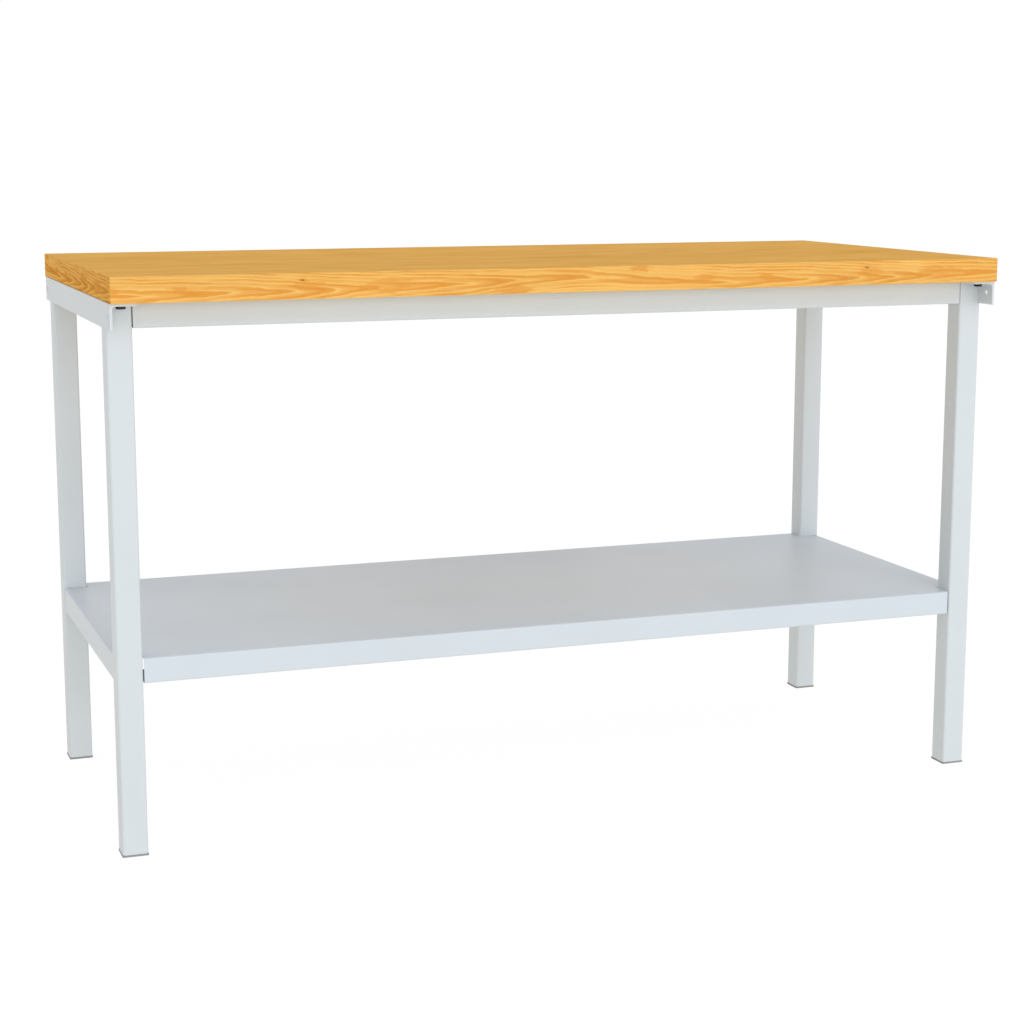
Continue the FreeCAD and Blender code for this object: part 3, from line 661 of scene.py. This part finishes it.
def make_flanged_screws():
    """Screws or bolts with a flanged hexagon head, seated on the base points."""
    tree, given, end = new_group("flanged_screws", "GeometryNodeTree", [
        ("Points", GEOMETRY, None), ("Flats", FLOAT, 13 * MM), ("Head Height", FLOAT, 5.3 * MM),
        ("Flange Diameter", FLOAT, 17 * MM), ("Flange Thickness", FLOAT, 1.6 * MM),
        ("Diameter", FLOAT, 8 * MM), ("Pitch", FLOAT, 1.25 * MM), ("Length", FLOAT, 16 * MM),
        ("Tip", FLOAT, 1 * MM), ("Finish", MATERIAL, None),
    ], [("Mesh", GEOMETRY)])
    head = tree.group(hexagon, {"Flats": given["Flats"], "Height": given["Head Height"]})["Mesh"]
    outer = tree.math("MULTIPLY", given["Flange Diameter"], 0.5)
    rim_height = tree.math("MULTIPLY", given["Flange Thickness"], 0.6)
    rim = tree.cone(48, outer, outer, rim_height)
    slope_height = tree.math("SUBTRACT", given["Flange Thickness"], rim_height)
    slope = tree.cone(48, tree.math("MULTIPLY", outer, 0.88), outer, slope_height)
    slope = tree.move(slope, rim_height)
    shank = tree.group(thread, {
        key: given[key] for key in ("Diameter", "Pitch", "Length", "Tip")
    })["Mesh"]
    screw = tree.combine("UNION", head, rim, slope, shank)
    set_finish(tree, given, end, on_points(tree, given, screw))
    return tree.tree


def make_nuts():
    """Hexagon nuts, turned off at both ends, on the base points."""
    tree, given, end = new_group("nuts", "GeometryNodeTree", [
        ("Points", GEOMETRY, None), ("Flats", FLOAT, 10 * MM), ("Height", FLOAT, 5 * MM),
        ("Bore", FLOAT, 6.2 * MM), ("Finish", MATERIAL, None),
    ], [("Mesh", GEOMETRY)])
    upper = tree.group(hexagon, {"Flats": given["Flats"], "Height": given["Height"]})["Mesh"]
    lower = tree.add("GeometryNodeTransform", {
        "Geometry": upper, "Rotation": (math.pi, 0, 0),
    }).outputs[0]
    lower = tree.move(lower, given["Height"])
    bore = tree.math("MULTIPLY", given["Bore"], 0.5)
    hole = tree.cone(36, bore, bore, tree.math("MULTIPLY", given["Height"], 3.0))
    hole = tree.move(hole, tree.math("MULTIPLY", given["Height"], -1.0))
    mouth = tree.math("MULTIPLY", bore, 1.14)
    sink_depth = tree.math("MULTIPLY", bore, 0.14)
    sink = tree.cone(36, mouth, bore, sink_depth)
    sink = tree.move(sink, tree.math("SUBTRACT", given["Height"], sink_depth))
    blank = tree.combine("INTERSECT", upper, lower)
    nut = tree.combine("DIFFERENCE", blank, hole, sink)
    set_finish(tree, given, end, on_points(tree, given, nut))
    return tree.tree


def make_studs():
    """Threaded studs that hang from the base points."""
    tree, given, end = new_group("studs", "GeometryNodeTree", [
        ("Points", GEOMETRY, None), ("Diameter", FLOAT, 6 * MM), ("Pitch", FLOAT, 1 * MM),
        ("Length", FLOAT, 38 * MM), ("Tip", FLOAT, 0.8 * MM), ("Finish", MATERIAL, None),
    ], [("Mesh", GEOMETRY)])
    shank = tree.group(thread, {
        key: given[key] for key in ("Diameter", "Pitch", "Length", "Tip")
    })["Mesh"]
    set_finish(tree, given, end, on_points(tree, given, shank))
    return tree.tree


def make_drilled_tube():
    """Square tube with rounded corners from Start to End, drilled where the base points are."""
    tree, given, end = new_group("drilled_tube", "GeometryNodeTree", [
        ("Points", GEOMETRY, None), ("Start", VECTOR, None), ("End", VECTOR, None),
        ("Side", FLOAT, 40 * MM), ("Wall", FLOAT, 2 * MM), ("Corner Radius", FLOAT, 4 * MM),
        ("Hole Diameter", FLOAT, 9 * MM), ("Hole Depth", FLOAT, 10 * MM),
        ("Finish", MATERIAL, None),
    ], [("Mesh", GEOMETRY)])
    inner_side = tree.math("SUBTRACT", given["Side"], tree.math("MULTIPLY", given["Wall"], 2.0))
    inner_radius = tree.math("SUBTRACT", given["Corner Radius"], given["Wall"])
    run = tree.vector("SUBTRACT", given["End"], given["Start"])
    prisms = []
    for over, side, radius in (
        (0.0, given["Side"], given["Corner Radius"]), (0.01, inner_side, inner_radius),
    ):
        beyond = tree.vector("SCALE", run, scale=over)
        path = tree.add("GeometryNodeCurvePrimitiveLine", {
            "Start": tree.vector("SUBTRACT", given["Start"], beyond),
            "End": tree.vector("ADD", given["End"], beyond),
        }).outputs[0]
        square = tree.add("GeometryNodeCurvePrimitiveQuadrilateral", {
            "Width": side, "Height": side,
        }).outputs[0]
        rounded = tree.add("GeometryNodeFilletCurve", {
            "Curve": square, "Radius": radius, "Count": 10,
        }, mode="POLY").outputs[0]
        prisms.append(tree.add("GeometryNodeCurveToMesh", {
            "Curve": path, "Profile Curve": rounded, "Fill Caps": True,
        }).outputs[0])
    hole_radius = tree.math("MULTIPLY", given["Hole Diameter"], 0.5)
    drill = tree.cone(40, hole_radius, hole_radius, given["Hole Depth"])
    drill = tree.move(drill, tree.math("MULTIPLY", given["Hole Depth"], -0.5))
    drills = on_points(tree, given, drill)
    drills = tree.add("GeometryNodeRealizeInstances", {"Geometry": drills}).outputs[0]
    tube = tree.combine("DIFFERENCE", prisms[0], prisms[1], drills)
    set_finish(tree, given, end, tube)
    return tree.tree


def make_weld_beads():
    """A rippled weld bead along each line of the base."""
    tree, given, end = new_group("weld_beads", "GeometryNodeTree", [
        ("Lines", GEOMETRY, None), ("Bead Width", FLOAT, 4.4 * MM),
        ("Ripple Pitch", FLOAT, 1.7 * MM), ("Seed", FLOAT, 3.0), ("Finish", MATERIAL, None),
    ], [("Mesh", GEOMETRY)])
    curves = tree.add("GeometryNodeMeshToCurve", {"Mesh": given["Lines"]}).outputs[0]
    fine = tree.math("DIVIDE", given["Ripple Pitch"], 6.0)
    curves = tree.add("GeometryNodeResampleCurve", {
        "Curve": curves, "Length": fine,
    }, mode="LENGTH").outputs[0]
    along = tree.add("GeometryNodeSplineParameter").outputs
    phase = tree.math("FRACT", tree.math("DIVIDE", along["Length"], given["Ripple Pitch"]))
    scale = tree.spread(phase, 0.0, 1.0, 0.86, 1.0)
    spot = tree.add("GeometryNodeInputPosition").outputs[0]
    sway = tree.add("ShaderNodeTexNoise", {
        "Vector": spot, "W": given["Seed"], "Scale": 160.0, "Detail": 1.0,
    }, noise_dimensions="4D").outputs[0]
    scale = tree.math("MULTIPLY", scale, tree.spread(sway, 0.3, 0.7, 0.88, 1.08))
    to_end = tree.math("PINGPONG", along["Factor"], 0.5)
    scale = tree.math("MULTIPLY", scale, tree.spread(to_end, 0.0, 0.07, 0.45, 1.0, True))
    bead = tree.add("GeometryNodeCurvePrimitiveCircle", {
        "Resolution": 10, "Radius": tree.math("MULTIPLY", given["Bead Width"], 0.5),
    }).outputs[0]
    curves = tree.add("GeometryNodeSetCurveRadius", {"Curve": curves, "Radius": scale})
    beads = tree.add("GeometryNodeCurveToMesh", {
        "Curve": curves.outputs[0], "Profile Curve": bead, "Fill Caps": True,
    }).outputs[0]
    set_finish(tree, given, end, beads)
    return tree.tree


def make_spot_welds():
    """Shallow pressed rings left by spot welding, on the base points."""
    tree, given, end = new_group("spot_welds", "GeometryNodeTree", [
        ("Points", GEOMETRY, None), ("Diameter", FLOAT, 6 * MM), ("Rise", FLOAT, 0.25 * MM),
        ("Finish", MATERIAL, None),
    ], [("Mesh", GEOMETRY)])
    outer = tree.math("MULTIPLY", given["Diameter"], 0.5)
    inner = tree.math("MULTIPLY", outer, 0.72)
    mound = tree.cone(28, inner, outer, given["Rise"])
    wide = tree.math("MULTIPLY", inner, 0.85)
    narrow = tree.math("MULTIPLY", inner, 0.6)
    dish = tree.cone(28, wide, narrow, given["Rise"])
    dish = tree.move(dish, tree.math("MULTIPLY", given["Rise"], 0.35))
    weld = tree.combine("DIFFERENCE", mound, dish)
    set_finish(tree, given, end, on_points(tree, given, weld))
    return tree.tree


hexagon = make_hexagon()
thread = make_thread()
flanged_screws = make_flanged_screws()
nuts = make_nuts()
studs = make_studs()
drilled_tube = make_drilled_tube()
weld_beads = make_weld_beads()
spot_welds = make_spot_welds()


def grow(name, tree, points, values, finish, nodes, direction=(0, 0, 1), edges=()):
    """Run a geometry tree on base points, and keep its result as a plain mesh.

    direction is where the top of the grown shape points, for all the points or by a function.
    """
    base = bpy.data.meshes.new(name)
    base.from_pydata(points, edges, [])
    directions = base.attributes.new("direction", "FLOAT_VECTOR", "POINT")
    for item, point in zip(directions.data, points):
        item.vector = direction(point) if callable(direction) else direction
    grower = bpy.data.objects.new(name, base)
    bpy.context.scene.collection.objects.link(grower)
    modifier = grower.modifiers.new(name, "NODES")
    modifier.node_group = tree
    values = {**values, "Finish": finish}
    for item in tree.interface.items_tree:
        if item.in_out == "INPUT" and item.name in values:
            modifier[item.identifier] = values[item.name]
    graph = bpy.context.evaluated_depsgraph_get()
    mesh = bpy.data.meshes.new_from_object(grower.evaluated_get(graph), depsgraph=graph)
    grower.modifiers.clear()
    bpy.data.objects.remove(grower)
    mesh.name = name
    work = bmesh.new()
    work.from_mesh(mesh)
    bmesh.ops.remove_doubles(work, verts=work.verts, dist=SAME_PLACE)
    bmesh.ops.dissolve_degenerate(work, dist=SAME_PLACE, edges=work.edges)
    idle = [vert for vert in work.verts if len(vert.link_edges) == 2]
    bmesh.ops.dissolve_verts(work, verts=idle)
    work.to_mesh(mesh)
    work.free()
    for face in mesh.polygons:
        face.use_smooth = True
    mesh.set_sharp_from_angle(angle=math.radians(32))
    return new_piece(name, mesh, [finish], nodes)


def sides_of(node):
    """Centre, lowest and highest corner of a CAD node."""
    low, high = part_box(node)
    return (low + high) / 2, low, high


def towards_middle_y(point):
    """The direction along Y that leads from a point to the middle of the table."""
    return (0, -math.copysign(1, point[1]), 0)


# how much nearer to the legs the coated ends of the long rails come than the solids do
CLOSER_FIT = 0.8 * MM

# from the end of a long rail's solid to its bolt, and from the middle of the table to a stud
BOLT_INSET = 28 * MM
STUD_Y = 0.15


def make_tubes():
    """The long rails and the crossbars."""
    for node in ("front_rail", "back_rail"):
        centre, low, high = sides_of(node)
        low.x, high.x = low.x - CLOSER_FIT, high.x + CLOSER_FIT
        inner = min(low.y, high.y, key=abs)
        reach = high.x - CLOSER_FIT - BOLT_INSET
        holes = [(-reach, inner, centre.z), (reach, inner, centre.z)]
        piece = grow(f"{node}_coated", drilled_tube, holes, {
            "Start": (low.x, centre.y, centre.z), "End": (high.x, centre.y, centre.z),
        }, frame_coat, [node], towards_middle_y)
        soften(piece, HARD_ARRIS)
    for node in ("left_crossbar", "right_crossbar"):
        centre, low, high = sides_of(node)
        holes = [(centre.x, -STUD_Y, centre.z), (centre.x, STUD_Y, centre.z)]
        piece = grow(f"{node}_coated", drilled_tube, holes, {
            "Start": (centre.x, low.y, centre.z), "End": (centre.x, high.y, centre.z),
            "Side": 30 * MM, "Corner Radius": 3 * MM, "Hole Diameter": 7 * MM,
            "Hole Depth": 60 * MM,
        }, frame_coat, [node])
        soften(piece, HARD_ARRIS)


FLANGE_RADIUS = 8.5 * MM
STUD_RADIUS = 3 * MM
ANGLE_THICKNESS = 4 * MM


def make_fasteners():
    """The board's screws, the long rails' bolts, and the studs and nuts under the shelf."""
    _, low, high = sides_of("worktop_screws")
    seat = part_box("left_angle_rail")[1].z - ANGLE_THICKNESS
    points = [
        (x, y, seat) for x in (low.x + FLANGE_RADIUS, high.x - FLANGE_RADIUS)
        for y in (low.y + FLANGE_RADIUS, high.y - FLANGE_RADIUS)
    ]
    grow("worktop_screws_black", flanged_screws, points, {
        "Diameter": 8 * MM, "Pitch": 3.4 * MM, "Length": 36 * MM, "Tip": 7 * MM,
    }, blackened_steel, ["worktop_screws"], (0, 0, -1))
    centre, low, high = sides_of("rail_bolts")
    inner = abs(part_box("front_rail")[1].y)
    points = [
        (x, y, centre.z) for x in (low.x + FLANGE_RADIUS, high.x - FLANGE_RADIUS)
        for y in (-inner, inner)
    ]
    grow("rail_bolts_plated", flanged_screws, points, {}, zinc_plate,
         ["rail_bolts"], towards_middle_y)
    _, low, high = sides_of("shelf_studs")
    points = [
        (x, y, high.z) for x in (low.x + STUD_RADIUS, high.x - STUD_RADIUS)
        for y in (-STUD_Y, STUD_Y)
    ]
    grow("shelf_studs_threaded", studs, points, {}, zinc_plate, ["shelf_studs"])
    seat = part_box("shelf_nuts")[1].z
    points = [(x, y, seat) for x, y, _ in points]
    grow("shelf_nuts_plated", nuts, points, {}, zinc_plate, ["shelf_nuts"],
         (0, 0, -1))


# a crossbar's beads stop this far short of its corners
CORNER_GAP = 3 * MM
# an angle rail's bead runs from here to here, from the inner side of a leg outwards
ANGLE_BEAD = (4 * MM, 33 * MM)
SHEET_THICKNESS = 1.5 * MM
SPOTS_PER_FLANGE = 14
# from the ends of the stiffener to its outermost spots, and from its edges to its spots
SPOT_END_GAP = 0.05
SPOT_EDGE_GAP = 9 * MM


def make_welds():
    """Beads where the crossbars and the angle rails meet the legs, and the stiffener's spots."""
    points, edges = [], []

    def bead(start, finish):
        edges.append((len(points), len(points) + 1))
        points.extend((start, finish))

    for side in ("left", "right"):
        _, low, high = sides_of(f"{side}_crossbar")
        for y in (low.y, high.y):
            bead((low.x + CORNER_GAP, y, low.z), (high.x - CORNER_GAP, y, low.z))
            for x in (low.x, high.x):
                bead((x, y, low.z + CORNER_GAP), (x, y, high.z - CORNER_GAP))
        for depth in ("front", "back"):
            _, low, high = sides_of(f"{depth}_{side}_leg")
            y = min(low.y, high.y, key=abs)
            inner = min(low.x, high.x, key=abs)
            bead(*((inner + math.copysign(run, inner), y, high.z) for run in ANGLE_BEAD))
    grow("frame_welds", weld_beads, points, {}, frame_coat, [], edges=edges)

    _, low, high = sides_of("shelf_stiffener")
    underside = high.z - SHEET_THICKNESS
    pitch = (high.x - low.x - 2 * SPOT_END_GAP) / (SPOTS_PER_FLANGE - 1)
    spots = [
        (low.x + SPOT_END_GAP + i * pitch, y, underside)
        for i in range(SPOTS_PER_FLANGE) for y in (low.y + SPOT_EDGE_GAP, high.y - SPOT_EDGE_GAP)
    ]
    grow("stiffener_spot_welds", spot_welds, spots, {}, shelf_coat_cooled, [],
         (0, 0, -1))


make_worktop()
make_steel()
make_feet()
make_tubes()
make_fasteners()
make_welds()


# --- floor, light and camera ---------------------------------------------------------------


def make_floor():
    """A plain floor, white to the camera, that lights the table from below."""
    mesh = bpy.data.meshes.new("floor")
    reach = 40
    corners = [(-reach, -reach, 0), (reach, -reach, 0), (reach, reach, 0), (-reach, reach, 0)]
    mesh.from_pydata(corners, [], [(0, 1, 2, 3)])
    floor = bpy.data.objects.new("floor", mesh)
    bpy.context.scene.collection.objects.link(floor)
    material = bpy.data.materials.new("floor")
    material.use_nodes = True
    material.node_tree.nodes.clear()
    tree = Tree(material.node_tree)
    bounce = tree.add("ShaderNodeBsdfDiffuse", {"Color": (0.50, 0.50, 0.50, 1)}).outputs[0]
    lift = tree.add("ShaderNodeEmission", {"Color": (0.547, 0.486, 0.387, 1)}).outputs[0]
    bounce = tree.add("ShaderNodeAddShader", {0: bounce, 1: lift}).outputs[0]
    faint = tree.add("ShaderNodeBsdfDiffuse", {"Color": (0.10, 0.10, 0.10, 1)}).outputs[0]
    pale = tree.add("ShaderNodeEmission", {"Color": (0.93, 0.93, 0.93, 1)}).outputs[0]
    shown = tree.add("ShaderNodeAddShader", {0: faint, 1: pale}).outputs[0]
    to_camera = tree.add("ShaderNodeLightPath").outputs["Is Camera Ray"]
    surface = tree.add("ShaderNodeMixShader", {0: to_camera, 1: bounce, 2: shown}).outputs[0]
    tree.add("ShaderNodeOutputMaterial", {"Surface": surface})
    mesh.materials.append(material)


def make_world(strength):
    """An even surround: white to the camera, a little cool as light."""
    world = bpy.data.worlds.new("studio")
    bpy.context.scene.world = world
    world.use_nodes = True
    world.node_tree.nodes.clear()
    tree = Tree(world.node_tree)
    lit = tree.add("ShaderNodeBackground", {0: (0.97, 1.0, 1.045, 1), 1: strength}).outputs[0]
    seen = tree.add("ShaderNodeBackground", {0: (1, 1, 1, 1), 1: 1.0}).outputs[0]
    to_camera = tree.add("ShaderNodeLightPath").outputs["Is Camera Ray"]
    surface = tree.add("ShaderNodeMixShader", {0: to_camera, 1: lit, 2: seen}).outputs[0]
    tree.add("ShaderNodeOutputWorld", {"Surface": surface})


def make_softbox(name, place, aim, size, power, colour=(1.0, 1.0, 1.0)):
    """A soft light of a width and height, at a place, turned to what it aims at."""
    data = bpy.data.lights.new(name, "AREA")
    data.shape = "RECTANGLE"
    data.size, data.size_y = size
    data.energy = power
    data.color = colour
    light = bpy.data.objects.new(name, data)
    bpy.context.scene.collection.objects.link(light)
    light.location = place
    light.rotation_euler = (Vector(aim) - Vector(place)).to_track_quat("-Z", "Y").to_euler()


# focal length in millimetres on a 36 mm sensor, and how far the view dips and turns right
CAMERA_PLACE = (-1.24187, -3.41743, 1.09113)
CAMERA_LENS = 73.467
CAMERA_DIP = math.radians(10.0)
CAMERA_TURN = math.radians(19.978)


def make_camera():
    """The camera, left of the middle, looking a little down."""
    data = bpy.data.cameras.new("camera")
    data.sensor_width = 36
    data.lens = CAMERA_LENS
    data.clip_end = 200
    camera = bpy.data.objects.new("camera", data)
    bpy.context.scene.collection.objects.link(camera)
    camera.location = CAMERA_PLACE
    upright = math.radians(90)
    camera.rotation_euler = Euler((upright - CAMERA_DIP, 0, -CAMERA_TURN))
    bpy.context.scene.camera = camera


# what the lights aim at: the middle of the table
TABLE_MIDDLE = (0, 0, 0.4)

make_floor()
make_world(0.738)
make_softbox("front_light", (3.3, -25.0, 3.2), TABLE_MIDDLE, (30.0, 11.0), 1690)
make_softbox("high_light", (1.6, -14.7, 13.8), (0, 0, 0.5), (8.0, 8.0), 552, (0.95, 1.0, 1.05))
make_softbox("back_light", (0.5, 7.0, 2.6), TABLE_MIDDLE, (3.0, 3.0), 8.4)
make_softbox("right_back_light", (5.2, 8.4, 2.3), TABLE_MIDDLE, (3.5, 3.5), 10)
make_camera()
bpy.context.scene.view_settings.view_transform = "Standard"
bpy.context.scene.view_settings.look = "None"
